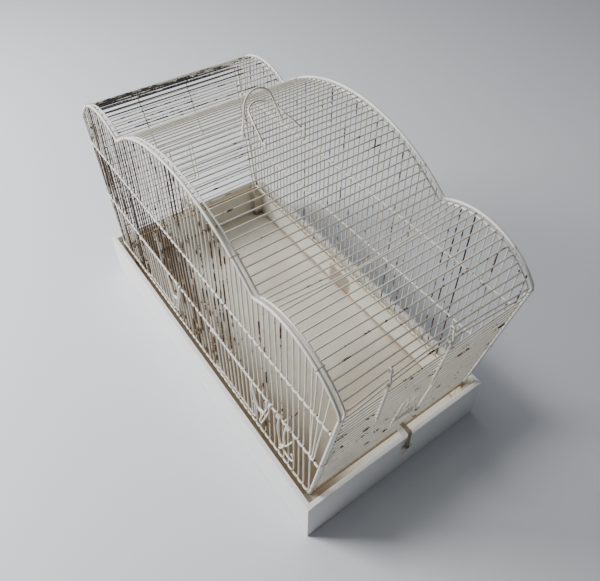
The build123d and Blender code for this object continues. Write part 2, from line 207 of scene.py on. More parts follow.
# ---------------------------------------------------------------- node helpers
class Shader:
    """A small wrapper that adds shader nodes and links to one material."""

    def __init__(self, name):
        self.material = bpy.data.materials.new(name)
        self.material.use_nodes = True
        self.tree = self.material.node_tree
        self.surface = self.tree.nodes["Principled BSDF"]

    def put(self, socket, value):
        if isinstance(value, bpy.types.NodeSocket):
            self.tree.links.new(value, socket)
        else:
            socket.default_value = value

    def node(self, kind, out=0, settings=None, **inputs):
        """Add a node; inputs are given by socket name, or by _0, _1 for its number."""
        made = self.tree.nodes.new(kind)
        for key, value in (settings or {}).items():
            setattr(made, key, value)
        for key, value in inputs.items():
            socket = made.inputs[int(key[1:])] if key[0] == "_" else made.inputs[key.replace("_", " ")]
            self.put(socket, value)
        return made.outputs[out]

    def math(self, kind, a, b=0.0, clamp=False):
        return self.node("ShaderNodeMath", settings={"operation": kind, "use_clamp": clamp}, _0=a, _1=b)

    def noise(self, vector, scale, detail=4.0, roughness=0.55):
        return self.node("ShaderNodeTexNoise", Vector=vector, Scale=scale, Detail=detail, Roughness=roughness)

    def ramp(self, value, low, high):
        """0 below low, 1 above high, smooth between."""
        return self.node("ShaderNodeMapRange", settings={"interpolation_type": "SMOOTHSTEP"},
                         _0=value, _1=low, _2=high, _3=0.0, _4=1.0)

    def mix(self, factor, a, b):
        made = self.tree.nodes.new("ShaderNodeMix")
        made.data_type = "RGBA"
        self.put(made.inputs["Factor"], factor)
        colours = [socket for socket in made.inputs if socket.type == "RGBA"]
        for socket, value in zip(colours, (a, b)):
            self.put(socket, value)
        return next(socket for socket in made.outputs if socket.type == "RGBA")

    def place(self):
        return self.node("ShaderNodeTexCoord", out=3)

    def split(self, vector):
        made = self.tree.nodes.new("ShaderNodeSeparateXYZ")
        self.put(made.inputs[0], vector)
        return made.outputs

    def join(self, x, y, z):
        return self.node("ShaderNodeCombineXYZ", _0=x, _1=y, _2=z)

    def value(self, name):
        return self.node("ShaderNodeAttribute", out=2, settings={"attribute_name": name})

    def bump(self, height, strength, distance):
        return self.node("ShaderNodeBump", Height=height, Strength=strength, Distance=distance)

    def finish(self, colour, roughness, metallic=0.0, normal=None):
        self.put(self.surface.inputs["Base Color"], colour)
        self.put(self.surface.inputs["Roughness"], roughness)
        self.put(self.surface.inputs["Metallic"], metallic)
        if normal is not None:
            self.put(self.surface.inputs["Normal"], normal)
        return self.material


def rgb(r, g, b):
    return (r, g, b, 1.0)


# ---------------------------------------------------------------- materials
def wire_material(name, paint, shade, bare, rust, amount, dirt_and_shade_top=0.0):
    """Painted wire whose paint has chipped off in dashes; a greater amount leaves more of it bare.

    Below the last argument, a height in metres, the wire turns brown: brown dirt together with painted shade
    low down in the tray.
    """
    s = Shader(name)
    spot = s.place()
    run = s.value("along")
    ident = s.value("ident")
    wear = s.value("wear")
    dashes = s.noise(s.join(s.math("MULTIPLY", run, 45.0), ident, 0.0), 1.0, 3.0, 0.65)
    flecks = s.noise(spot, 650.0, 3.0, 0.6)
    patches = s.noise(spot, 9.0, 2.0, 0.5)
    level = s.math("ADD", s.math("MULTIPLY", dashes, 0.62), s.math("MULTIPLY", flecks, 0.26))
    level = s.math("ADD", level, s.math("MULTIPLY", patches, 0.22))
    level = s.math("ADD", level, s.math("MULTIPLY", s.math("SUBTRACT", wear, 0.5), 0.42))
    chipped = s.ramp(level, 0.60 - amount, 0.63 - amount)
    stain = s.ramp(level, 0.46 - amount, 0.62 - amount)
    coat = s.mix(s.noise(spot, 60.0), paint, shade)
    coat = s.mix(s.math("MULTIPLY", stain, 0.45), coat, shade)
    metal = s.mix(s.ramp(s.noise(spot, 180.0), 0.5, 0.68), bare, rust)
    height = s.math("ADD", s.math("MULTIPLY", chipped, -1.0), s.math("MULTIPLY", flecks, 0.4))
    colour = s.mix(chipped, coat, metal)
    # brown below the given height: dirt, and painted shade on the wire deep in the tray below its rim
    if dirt_and_shade_top:
        low = s.ramp(s.split(spot)[2], dirt_and_shade_top, dirt_and_shade_top - 0.002)
        colour = s.mix(low, colour, s.mix(s.ramp(flecks, 0.4, 0.7), DIRT_AND_SHADE_BROWN, rgb(0.50, 0.42, 0.28)))
    return s.finish(colour,
                    s.math("ADD", s.math("MULTIPLY", chipped, 0.28), 0.42),
                    s.math("MULTIPLY", chipped, 0.25),
                    s.bump(height, 0.6, 0.0002))


CREAM = rgb(0.84, 0.82, 0.75)
CREAM_SHADE = rgb(0.60, 0.55, 0.45)
BARE = rgb(0.050, 0.030, 0.022)
RUST = rgb(0.26, 0.10, 0.03)
# brown for the frame's low wires below the height on the next line: dirt together with painted shade inside the
# tray
DIRT_AND_SHADE_BROWN = rgb(0.34, 0.24, 0.12)
DIRT_AND_SHADE_TOP = 0.0745
frame_paint = wire_material("frame_paint", rgb(0.90, 0.91, 0.93), CREAM_SHADE, BARE, RUST, -0.12, DIRT_AND_SHADE_TOP)
rail_paint = wire_material("rail_paint", rgb(0.92, 0.90, 0.85), CREAM_SHADE, BARE, RUST, -0.09)
bar_paint = wire_material("bar_paint", CREAM, CREAM_SHADE, BARE, RUST, -0.065)
worn_paint = wire_material("worn_paint", CREAM, CREAM_SHADE, rgb(0.045, 0.042, 0.048), BARE, -0.03)
hook_paint = wire_material("hook_paint", rgb(0.88, 0.86, 0.80), CREAM_SHADE, BARE, RUST, -0.08)
tie_wire = wire_material("tie_wire", rgb(0.80, 0.76, 0.68), RUST, rgb(0.16, 0.07, 0.03),
                         rgb(0.42, 0.17, 0.05), 0.0)
bail_paint = wire_material("bail_paint", CREAM, CREAM_SHADE, BARE, RUST, -0.07)


def tray_wall_material():
    """Brush-painted boards: worn along the rim, brown with dirt low down on the inside."""
    s = Shader("tray_wall_paint")
    spot = s.place()
    x, y, z = s.split(spot)
    stretched = s.join(s.math("MULTIPLY", x, 6.0), s.math("MULTIPLY", y, 6.0), s.math("MULTIPLY", z, 60.0))
    grain = s.noise(stretched, 5.0, 5.0, 0.6)
    cloud = s.noise(spot, 14.0, 5.0, 0.6)
    speck = s.noise(spot, 300.0, 3.0, 0.7)
    inside_x = s.ramp(s.math("ABSOLUTE", x), 0.2806, 0.2798)
    inside_y = s.ramp(s.math("ABSOLUTE", y), 0.1436, 0.1428)
    inside = s.math("MULTIPLY", inside_x, inside_y)
    coat = s.mix(s.math("MULTIPLY", cloud, 0.4), rgb(0.84, 0.85, 0.85), rgb(0.76, 0.76, 0.73))
    rim = s.ramp(s.math("ADD", z, s.math("MULTIPLY", cloud, 0.006)), 0.0790, 0.0805)
    scuffs = s.math("MULTIPLY", rim, s.ramp(s.math("ADD", speck, s.math("MULTIPLY", cloud, 0.5)), 0.90, 1.0))
    foot = s.math("MULTIPLY", s.ramp(z, 0.004, 0.0005), s.ramp(cloud, 0.42, 0.62))
    coat = s.mix(s.math("MULTIPLY", foot, 0.5), coat, rgb(0.42, 0.38, 0.32))
    coat = s.mix(scuffs, coat, rgb(0.30, 0.22, 0.15))
    tide = s.ramp(s.math("ADD", z, s.math("MULTIPLY", cloud, -0.020)), 0.001, -0.004)
    grime = s.mix(tide, rgb(0.70, 0.67, 0.58), rgb(0.22, 0.14, 0.08))
    coat = s.mix(inside, coat, s.mix(s.ramp(cloud, 0.45, 0.95), grime, rgb(0.55, 0.48, 0.36)))
    patch_x = s.ramp(s.math("ABSOLUTE", s.math("ADD", x, 0.018)), 0.032, 0.022)
    patch = s.math("MULTIPLY", s.math("MULTIPLY", patch_x, inside), s.ramp(y, 0.10, 0.12))
    patch = s.math("MULTIPLY", patch, s.ramp(s.math("ADD", z, s.math("MULTIPLY", speck, 0.012)), 0.052, 0.046))
    coat = s.mix(s.math("MULTIPLY", patch, 0.85), coat, rgb(0.17, 0.09, 0.05))
    height = s.math("ADD", s.math("MULTIPLY", grain, 0.6), s.math("MULTIPLY", scuffs, -0.8))
    return s.finish(coat, s.math("ADD", s.math("MULTIPLY", cloud, 0.25), 0.35), 0.0,
                    s.bump(height, 0.35, 0.0006))


def tray_floor_material():
    """Cream paint stained brown along the walls and in scattered patches, with a painted shadow of the front
    wall (mixed with brown dirt) and painted shade towards the right.
    """
    s = Shader("tray_floor_paint")
    spot = s.place()
    x, y = s.split(spot)[:2]
    cloud = s.noise(spot, 10.0, 6.0, 0.62)
    speck = s.noise(spot, 260.0, 4.0, 0.7)
    wall_gap = s.math("MINIMUM", s.math("SUBTRACT", 0.280, s.math("ABSOLUTE", x)),
                      s.math("SUBTRACT", 0.143, s.math("ABSOLUTE", y)))
    edge = s.ramp(s.math("ADD", wall_gap, s.math("MULTIPLY", cloud, 0.016)), 0.0145, 0.0060)
    coat = s.mix(s.ramp(cloud, 0.35, 0.75), rgb(0.72, 0.69, 0.61), rgb(0.62, 0.56, 0.45))
    coat = s.mix(s.math("MULTIPLY", s.ramp(speck, 0.62, 0.75), 0.5), coat, rgb(0.30, 0.21, 0.13))
    # painted shadow of the front wall, mixed with brown dirt: darkest within about 40 mm of that wall, fading
    # by about 100 mm
    front = s.ramp(s.math("ADD", y, s.math("MULTIPLY", s.math("SUBTRACT", cloud, 0.5), 0.05)), -0.045, -0.105)
    # painted shade on the floor's right part, from about x = 60 mm to 225 mm
    right = s.math("MULTIPLY", s.ramp(x, 0.06, 0.16), s.ramp(x, 0.225, 0.195))
    coat = s.mix(s.math("MULTIPLY", right, 0.55), coat, rgb(0.40, 0.33, 0.23))
    coat = s.mix(s.math("MULTIPLY", front, 0.85), coat, rgb(0.40, 0.28, 0.15))
    coat = s.mix(s.math("MULTIPLY", edge, 0.6), coat, rgb(0.36, 0.26, 0.14))
    height = s.math("ADD", cloud, s.math("MULTIPLY", speck, 0.3))
    return s.finish(coat, 0.6, 0.0, s.bump(height, 0.4, 0.0008))


def metal_material(name, base, dull, worn, paint, paint_level):
    """Dull metal with dark patches and remains of paint."""
    s = Shader(name)
    spot = s.place()
    cloud = s.noise(spot, 120.0, 5.0, 0.6)
    speck = s.noise(spot, 900.0, 3.0, 0.6)
    colour = s.mix(s.ramp(cloud, 0.35, 0.7), base, dull)
    colour = s.mix(s.ramp(speck, 0.55, 0.72), colour, worn)
    left = s.ramp(s.math("ADD", cloud, s.math("MULTIPLY", speck, 0.3)), paint_level, paint_level + 0.05)
    colour = s.mix(left, colour, paint)
    metallic = s.math("SUBTRACT", 0.5, s.math("MULTIPLY", left, 0.5))
    return s.finish(colour, s.math("ADD", s.math("MULTIPLY", cloud, 0.3), 0.38), metallic,
                    s.bump(s.math("ADD", cloud, speck), 0.4, 0.0002))


def strap_material():
    """The catch's strap: olive brown as painted shade on a pale cream strap, with its thumb ear still painted
    white.
    """
    s = Shader("strap_sheet")
    spot = s.place()
    y, z = s.split(spot)[1:]
    cloud = s.noise(spot, 140.0, 4.0, 0.6)
    speck = s.noise(spot, 800.0, 3.0, 0.6)
    # olive brown tones: painted shade on the strap, which is pale cream
    colour = s.mix(s.ramp(cloud, 0.35, 0.7), rgb(0.30, 0.27, 0.18), rgb(0.19, 0.15, 0.09))
    level = s.math("ADD", s.math("ABSOLUTE", y), s.math("MULTIPLY", s.math("SUBTRACT", cloud, 0.5), 0.004))
    ear = s.math("MULTIPLY", s.ramp(level, 0.0055, 0.0040), s.ramp(z, 0.090, 0.093))
    chips = s.ramp(speck, 0.66, 0.60)
    colour = s.mix(s.math("MULTIPLY", ear, chips), colour, rgb(0.74, 0.72, 0.66))
    colour = s.mix(s.ramp(speck, 0.60, 0.74), colour, rgb(0.06, 0.04, 0.03))
    return s.finish(colour, 0.55, 0.25, s.bump(s.math("ADD", cloud, speck), 0.4, 0.0002))


def block_material():
    """Thinly painted softwood with its grain showing and brown grime low down."""
    s = Shader("block_paint")
    spot = s.place()
    x, y, z = s.split(spot)
    stretched = s.join(s.math("MULTIPLY", x, 90.0), s.math("MULTIPLY", y, 90.0), s.math("MULTIPLY", z, 7.0))
    rings = s.noise(stretched, 6.0, 5.0, 0.6)
    colour = s.mix(s.ramp(rings, 0.45, 0.75), rgb(0.60, 0.55, 0.45), rgb(0.34, 0.25, 0.16))
    low = s.ramp(s.math("ADD", z, s.math("MULTIPLY", rings, -0.02)), 0.012, -0.004)
    colour = s.mix(low, colour, rgb(0.20, 0.12, 0.07))
    return s.finish(colour, 0.7, 0.0, s.bump(rings, 0.4, 0.0005))


# ---------------------------------------------------------------- wires
class Wires:
    """Collects round wires, and beads of solder, into one mesh piece."""

    def __init__(self):
        self.corners = []
        self.faces = []
        self.along = []
        self.ident = []
        self.wear = []

    def rings(self, points, radii, wear, sides):
        """A round body through the points, flat at both ends; wear is a number or a function of a point."""
        points = np.asarray(points, float)
        tangents = np.gradient(points, axis=0)
        tangents /= np.linalg.norm(tangents, axis=1)[:, None]
        lengths = np.insert(np.cumsum(np.linalg.norm(np.diff(points, axis=0), axis=1)), 0, 0)
        normal = np.cross(tangents[0], [0.31, 0.95, 0.11])
        turns = np.linspace(0, 2 * math.pi, sides, endpoint=False)
        first = len(self.corners)
        ident = chance.uniform(0, 500)
        shift = chance.uniform(0, 4000)
        for point, tangent, radius, length in zip(points, tangents, radii, lengths):
            normal = normal - tangent * (normal @ tangent)
            normal /= np.linalg.norm(normal)
            other = np.cross(tangent, normal)
            ring = point + radius * (np.cos(turns)[:, None] * normal + np.sin(turns)[:, None] * other)
            self.corners.extend(ring * 0.001)
            self.along.extend([(length + shift) * 0.001] * sides)
            self.ident.extend([ident] * sides)
            self.wear.extend([wear(point) if callable(wear) else wear] * sides)
        last = len(self.corners) - sides
        for here in range(first, last, sides):
            there = here + sides
            for k in range(sides):
                after = (k + 1) % sides
                self.faces.append((here + k, here + after, there + after, there + k))
        self.faces.append(tuple(range(first + sides - 1, first - 1, -1)))
        self.faces.append(tuple(range(last, last + sides)))

    def tube(self, points, radius, wear, sides):
        """A round wire through the points, with slightly rounded ends."""
        points = np.asarray(points, float)
        heads = []
        for end, inner in ((0, 1), (-1, -2)):
            away = points[end] - points[inner]
            away /= np.linalg.norm(away)
            heads.append(points[end] - away * radius * TIP_LENGTH)
        points = np.vstack([points[0], heads[0], points[1:-1], heads[1], points[-1]])
        tip = radius * TIP_NARROWING
        self.rings(points, [tip] + [radius] * (len(points) - 2) + [tip], wear, sides)

    def bead(self, centre, axis, length, radius, wear):
        """A lump of solder drawn out along an axis."""
        axis = np.asarray(axis, float) / np.linalg.norm(axis)
        rows = np.linspace(-1, 1, BEAD_ROWS)
        points = [np.asarray(centre) + axis * length / 2 * row for row in rows]
        swells = [radius * math.sqrt(max(0.0, 1 - row ** 2)) * chance.uniform(0.85, 1.1) for row in rows]
        self.rings(points, [max(0.12, swell) for swell in swells], wear, BEAD_SIDES)

    def build(self, name, material, body, replaced):
        """Make the piece, put it on its body and let it stand for CAD nodes."""
        mesh = bpy.data.meshes.new(name)
        mesh.from_pydata([tuple(corner) for corner in self.corners], [], self.faces)
        for title, values in (("along", self.along), ("ident", self.ident), ("wear", self.wear)):
            layer = mesh.attributes.new(title, "FLOAT", "POINT")
            layer.data.foreach_set("value", values)
        mesh.polygons.foreach_set("use_smooth", [True] * len(mesh.polygons))
        mesh.materials.append(material)
        mesh.update()
        piece = bpy.data.objects.new(name, mesh)
        bpy.context.scene.collection.objects.link(piece)
        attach(piece, body)
        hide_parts(*replaced)


def rounded(points, radius, steps=6):
    """The points as a path with each inner corner rounded."""
    points = [np.asarray(point, float) for point in points]
    path = [points[0]]
    for before, corner, after in zip(points, points[1:], points[2:]):
        back = before - corner
        ahead = after - corner
        cut = min(radius, np.linalg.norm(back) * 0.49, np.linalg.norm(ahead) * 0.49)
        start = corner + back / np.linalg.norm(back) * cut
        end = corner + ahead / np.linalg.norm(ahead) * cut
        for t in np.linspace(0, 1, steps):
            path.append((1 - t) ** 2 * start + 2 * t * (1 - t) * corner + t ** 2 * end)
    path.append(points[-1])
    return np.array(path)


def rounded_arc(points, cut, steps=16):
    """The points as a path whose inner corners are true arcs that start a distance cut from the corner."""
    points = [np.asarray(point, float) for point in points]
    path = [points[0]]
    for before, corner, after in zip(points, points[1:], points[2:]):
        back = (before - corner) / np.linalg.norm(before - corner)
        ahead = (after - corner) / np.linalg.norm(after - corner)
        half_angle = math.acos(back @ ahead) / 2
        radius = cut * math.tan(half_angle)
        middle = (back + ahead) / np.linalg.norm(back + ahead)
        centre = corner + middle * radius / math.sin(half_angle)
        side = (back - ahead) / np.linalg.norm(back - ahead)
        sweep = math.pi / 2 - half_angle
        for angle in np.linspace(sweep, -sweep, steps):
            path.append(centre + radius * (-middle * math.cos(angle) + side * math.sin(angle)))
    path.append(points[-1])
    return np.array(path)


def straight(start, end, count, shake):
    """A path between two points that wanders a little from the straight line."""
    start = np.asarray(start, float)
    end = np.asarray(end, float)
    line = np.linspace(start, end, count)
    run = (end - start) / np.linalg.norm(end - start)
    t = np.linspace(0, 1, count)
    for wave in (1, 2, 3):
        push = np.array([chance.gauss(0, 1) for _ in range(3)])
        push -= run * (push @ run)
        line += shake / wave * np.outer(np.sin(math.pi * wave * t), push)
    return line


def curl(centre, axis, start, turns, drift=0.0, steps=26):
    """A wire's wrap round a bar, from the point start: turns about axis, moving drift along it."""
    centre = np.asarray(centre, float)
    axis = np.asarray(axis, float) / np.linalg.norm(axis)
    arm = np.asarray(start, float) - centre
    arm -= axis * (arm @ axis)
    side = np.cross(axis, arm)
    angles = np.linspace(0, 2 * math.pi * turns, steps)
    path = [centre + arm * math.cos(a) + side * math.sin(a) + axis * drift * a / angles[-1] for a in angles]
    return np.array(path)


def xyz(x_z, y):
    return np.array([x_z[0], y, x_z[1]])


# ---------------------------------------------------------------- frames, edges and base wires
def frame_loop():
    """(x, z) points of a frame wire: from the middle of its foot, over the roof and back."""
    over = outline_run(0.0, -HALF_LENGTH + FRAME_FEET, HALF_LENGTH - FRAME_FEET)
    right_foot = [np.array([FRAME_BUTT, BASE[1]]), BASE, over[-1]]
    left_foot = [over[0], BASE * [-1, 1], np.array([-FRAME_BUTT, BASE[1]])]
    return np.vstack([rounded(right_foot, BASE_BEND)[:-1], over[::-1], rounded(left_foot, BASE_BEND)[1:]])


def cage_frames():
    """The two thick frame wires, the roof's edge wires beside them and the wires that join their feet."""
    for side, name in ((-1, "front"), (1, "back")):
        wires = Wires()
        wires.tube([xyz(point, side * PANEL_Y) for point in frame_loop()], FRAME_SEEN_R, 0.42, 14)
        wires.bead((0, side * PANEL_Y, BASE[1]), (1, 0, 0), 9, 2.5, 0.45)
        wires.build(f"frame_wire_{name}", frame_paint, "tray_and_cage", [f"cage_frame_{name}"])

        wires = Wires()
        run = outline_run(EDGE_INSET, -HALF_LENGTH + EDGE_FEET, HALF_LENGTH - EDGE_FEET)
        wires.tube([xyz(point, side * EDGE_Y) for point in run], EDGE_R, 0.45, 12)
        wires.build(f"edge_wire_{name}", frame_paint, "tray_and_cage", [f"roof_edge_{name}"])

    reach = PANEL_Y - 0.6
    for side, name in ((1, "right"), (-1, "left")):
        wires = Wires()
        ends = [(side * BASE[0], y, BASE[1]) for y in (-reach, reach)]
        wires.tube(straight(*ends, 30, 0.15), FRAME_R, 0.5, 12)
        for y in (-PANEL_Y + 2.0, PANEL_Y - 2.0):
            wires.bead((side * (BASE[0] - 1.2), y, BASE[1] + 0.8), (0, 1, 0), 6, 2.3, 0.45)
        wires.build(f"base_wire_{name}_round", frame_paint, "tray_and_cage", [f"base_wire_{name}"])


# ---------------------------------------------------------------- side bars and rails
FRAME_INSIDE = outline_run(FRAME_R * 0.55, -HALF_LENGTH + 1, HALF_LENGTH - 1, 0.5)


def side_bar_span(x):
    """Where the side bar at x meets the base and the underside of the frame wire."""
    near = FRAME_INSIDE[np.abs(FRAME_INSIDE[:, 0] - x) < 0.6][:, 1]
    wall_top = SHOULDER[1] - SHOULDER_BEND
    low = max([BASE[1] + FRAME_R * 0.6] + [z for z in near if z < wall_top])
    return low, min(z for z in near if z > wall_top)


def share(value):
    """The value held between 0 and 1."""
    return min(1.0, max(0.0, value))


def panel_wear(side, point):
    """The wear a side bar has from its place: most on the front, left, between the upper two rails."""
    if side == 1:
        return 0.05 + 0.17 * share((point[0] - 130) / 50)
    band = 0.56 if 172 < point[2] < 262 else 0.25
    return band * share((170 - point[0]) / 270) + 0.03


def crimped_bar(start, end, y, shake):
    """The path of a side bar from its foot to its head, crimped towards each rail it crosses."""
    path = straight(xyz(start, y), xyz(end, y), 3 + int((end[1] - start[1]) / 3), shake)
    for height in RAILS.values():
        path[:, 1] -= CRIMP * np.exp(-((path[:, 2] - height) / CRIMP_LENGTH) ** 2)
    return path


def side_wires(side, name):
    """The upright bars of a long side, soldered to the frame at both ends.

    On the front the bars stop at the door openings, and the last ones on the right lean inwards.
    """
    last_bar = int((SHOULDER[0] - SHOULDER_BEND / 2) / SIDE_PITCH)
    door_bars = [i for hung_on, closes_on in DOORS.values() for i in range(hung_on + 1, closes_on)]
    bars = Wires()
    y = side * PANEL_Y
    for i in range(-last_bar, last_bar + 1):
        foot_x = head_x = i * SIDE_PITCH
        low, high = side_bar_span(foot_x)
        wear = 0.5 + chance.gauss(0, 0.15)
        pieces = [(low, high)]
        if side == -1 and i in door_bars:
            pieces = [(low, OPENING_Z[0]), (OPENING_Z[1], high)]
        elif side == -1 and i > last_bar - len(FAN_FEET):
            foot_x = FAN_FEET[i - last_bar - 1]
            head_x -= FAN_LEAN
            pieces = [(MIDDLE_RAIL, side_bar_span(head_x)[1])]
        for start, end in pieces:
            path = crimped_bar((foot_x, start), (head_x, end), y, 0.10 if end - start < 40 else 0.35)
            bars.tube(path, BAR_R, lambda point: wear + panel_wear(side, point), 10)
        bars.bead((head_x, y, pieces[-1][1] - 0.4), (0, 0, 1), 4.5, 1.6, 0.4)
    bars.build(f"side_wires_{name}", bar_paint, "tray_and_cage", [f"side_bars_{name}"])


def crossing(x):
    """1 where a rail crosses a side bar, 0 midway between two bars."""
    return 0.5 + 0.5 * np.cos(2 * math.pi * x / SIDE_PITCH)


def rail_wear_and_crossing_shade(point):
    """The wear along a rail, highest where it crosses a bar; there its dark chips also stand for painted shade
    under the crossing bar.
    """
    return 0.40 + 0.70 * crossing(point[0]) ** 5


def rail_wires(side, name):
    """The three rails of a long side, which dip a little at every bar and are dark there: worn, and painted
    shade under the crossing bar.
    """
    depth = -RAIL_Y if side == -1 else BACK_RAIL_Y
    for level, height in RAILS.items():
        rail = Wires()
        reach = BASE[0] + (height - BASE[1]) * math.tan(SLOPE) - 0.8
        xs = np.linspace(-reach, reach, int(2 * reach / 0.85))
        ys = depth + RAIL_DIP * crossing(xs) ** 3
        zs = height + 0.5 * np.sin(xs / 83.0 + height) * np.cos(xs / reach * math.pi / 2)
        rail.tube(np.column_stack([xs, ys, zs]), RAIL_SEEN_R, rail_wear_and_crossing_shade, 10)
        rail.build(f"rail_wire_{level}_{name}", rail_paint, "tray_and_cage", [f"rail_{level}_{name}"])


def side_panels():
    for side, name in ((-1, "front"), (1, "back")):
        side_wires(side, name)
        rail_wires(side, name)


# ---------------------------------------------------------------- roof and end bars
def roof_bar(wires, place, wear, bow_in=0.0, bow_left=0.0, middle=0.0, span=(-EDGE_Y, EDGE_Y), count=41):
    """A bar across the roof or an end wall, over the y in span.

    It bows into the cage by bow_in and along the outline towards the left by bow_left, most at y = middle.
    """
    centre = on_outline(place)
    inward = inward_at(place)
    leftward = np.array([inward[1], -inward[0]])
    ys = np.linspace(*span, count)
    weights = np.cos(np.clip((ys - middle) / (EDGE_Y + abs(middle)), -1, 1) * math.pi / 2) ** 1.3
    lean = chance.gauss(0, 0.18)
    ripples = chance.gauss(0, 0.12) * np.sin(ys / EDGE_Y * math.pi)
    path = []
    for y, weight, ripple in zip(ys, weights, ripples):
        spot = centre + inward * (bow_in * weight + ripple * 0.6)
        path.append(xyz(spot + leftward * (bow_left * weight + lean * weight), y))
    wires.tube(path, BAR_R, wear, 10)


def right_dome_bow(number, count):
    """The bows (in, left, middle) of a right dome bar: dented by the valley, pressed in by the shoulder."""
    if number in DENTS:
        return (*DENTS[number], DENT_MIDDLE)
    from_shoulder = count - 1 - number
    return 7.5 * max(0.0, 1 - from_shoulder / 8), 0.0, 0.0


def left_dome_wear(base, number):
    """The wear along a left dome bar: it has lost paint all but near the back, most on the middle bars."""
    bare = 0.55 if number in MOST_WORN else 0.16
    return lambda point: base + 0.12 + bare * share((95 - point[1]) / 20)


def dome_wires(side, name, domes):
    """The bars of a side dome."""
    wires = Wires()
    for number, place in enumerate(domes):
        wear = 0.46 + chance.gauss(0, 0.06)
        if side == 1:
            roof_bar(wires, place, wear, *right_dome_bow(number, len(domes)))
        else:
            roof_bar(wires, -place, left_dome_wear(wear, number))
    paint = bar_paint if side == 1 else worn_paint
    wires.build(f"{name}_dome_wires", paint, "tray_and_cage", [f"{name}_dome_bars"])


def end_wall_wires(side, name, wall):
    """The bars of an end wall, cut short beside the hatch opening."""
    wires = Wires()
    for place in wall:
        number = round(place / ROOF_PITCH - 0.5)
        wear = 0.60 + chance.gauss(0, 0.08)
        pressed = 6.0 * max(0.0, 1 - (place - wall[0]) / 75) if side == 1 else 0.0
        if HATCH_HINGE_BAR < number <= HATCH_HINGE_BAR + HATCH_BARS:
            reach = HATCH_OPENING + 3.5
            for span in ((-EDGE_Y, -reach), (reach, EDGE_Y)):
                roof_bar(wires, side * place, wear, span=span, count=14)
        elif abs(number - HATCH_HINGE_BAR) <= HATCH_BARS + 2:
            roof_bar(wires, side * place, wear)
        else:
            roof_bar(wires, side * place, wear, pressed, -side * WALL_SAG)
    wires.build(f"{name}_end_wires", bar_paint, "tray_and_cage", [f"{name}_end_bars"])


def roof_wires():
    """All bars across the cage: the main dome first, then each side dome and end wall."""
    main = [place for place in BAR_PLACES if on_outline(place)[0] < VALLEY[0]]
    wall = [place for place in BAR_PLACES if HALF_LENGTH - place < END_WALL_RISE]
    domes = [place for place in BAR_PLACES if place not in main and place not in wall]
    wires = Wires()
    for place in main:
        for sign in (-1, 1):
            roof_bar(wires, sign * place, 0.46 + chance.gauss(0, 0.07))
    wires.build("main_dome_wires", bar_paint, "tray_and_cage", ["main_dome_bars"])
    for side, name in ((1, "right"), (-1, "left")):
        dome_wires(side, name, domes)
        end_wall_wires(side, name, wall)


# ---------------------------------------------------------------- end rods and hatches
def end_rods(side, name):
    """Two thick rods that run up an end wall and over the shoulder, looped round a bar at each end."""
    rods = Wires()
    foot, head = [BAR_PLACES[i] for i in ROD_BARS]
    middle = ROD_MIDDLE[name]
    for across in (middle - ROD_SPACING / 2, middle + ROD_SPACING / 2):
        path = []
        for place in np.arange(foot, head, -1.3):
            over = math.cos(2 * math.pi * (place - foot) / ROOF_PITCH)
            done = (foot - place) / (foot - head)
            lean = ROD_LEAN * min(done / ROD_LEAN_END, (1 - done) / (1 - ROD_LEAN_END))
            y = across - lean + 0.5 * math.sin(place / 21)
            path.append(xyz(on_outline(side * place, -ROD_OUT - ROD_WEAVE * over), y))
        foot_loop = curl(xyz(on_outline(side * foot), across), (0, 1, 0), path[0], 0.8 * side)
        head_loop = curl(xyz(on_outline(side * head), across), (0, 1, 0), path[-1], -0.8 * side)
        rods.tube(np.vstack([foot_loop[::-1], path[1:-1], head_loop]), ROD_R, 0.45, 10)
        for number in range(ROD_BARS[1] + 1, ROD_BARS[0]):
            bar = on_outline(side * BAR_PLACES[number], -1.2)
            done = (ROD_BARS[0] - number) / (ROD_BARS[0] - ROD_BARS[1])
            lean = ROD_LEAN * min(done / ROD_LEAN_END, 1.0)
            rods.bead(xyz(bar, across - lean), (0, 1, 0), 5.0, 2.0, 0.6)
    rods.build(f"{name}_rod_wires", hook_paint, "tray_and_cage", [f"{name}_end_rods"])


def hatch_posts(side, name):
    """The thin posts that hold the ends of the bars on both sides of a hatch."""
    posts = Wires()
    for across in (-POST_OFFSET, POST_OFFSET):
        ends = [on_wall(side, across, up, 1.9) for up in (60.5, 138.0)]
        posts.tube(straight(*ends, 24, 0.10), THIN_R, 0.6, 8)
        for i in range(HATCH_BARS):
            up = HINGE_RISE - (i + 1) * ROOF_PITCH
            posts.bead(on_wall(side, across, up, 0.9), (0, 1, 0), 3.4, 1.35, 0.45)
    posts.build(f"{name}_post_wires", bar_paint, "tray_and_cage", [f"{name}_hatch_posts"])


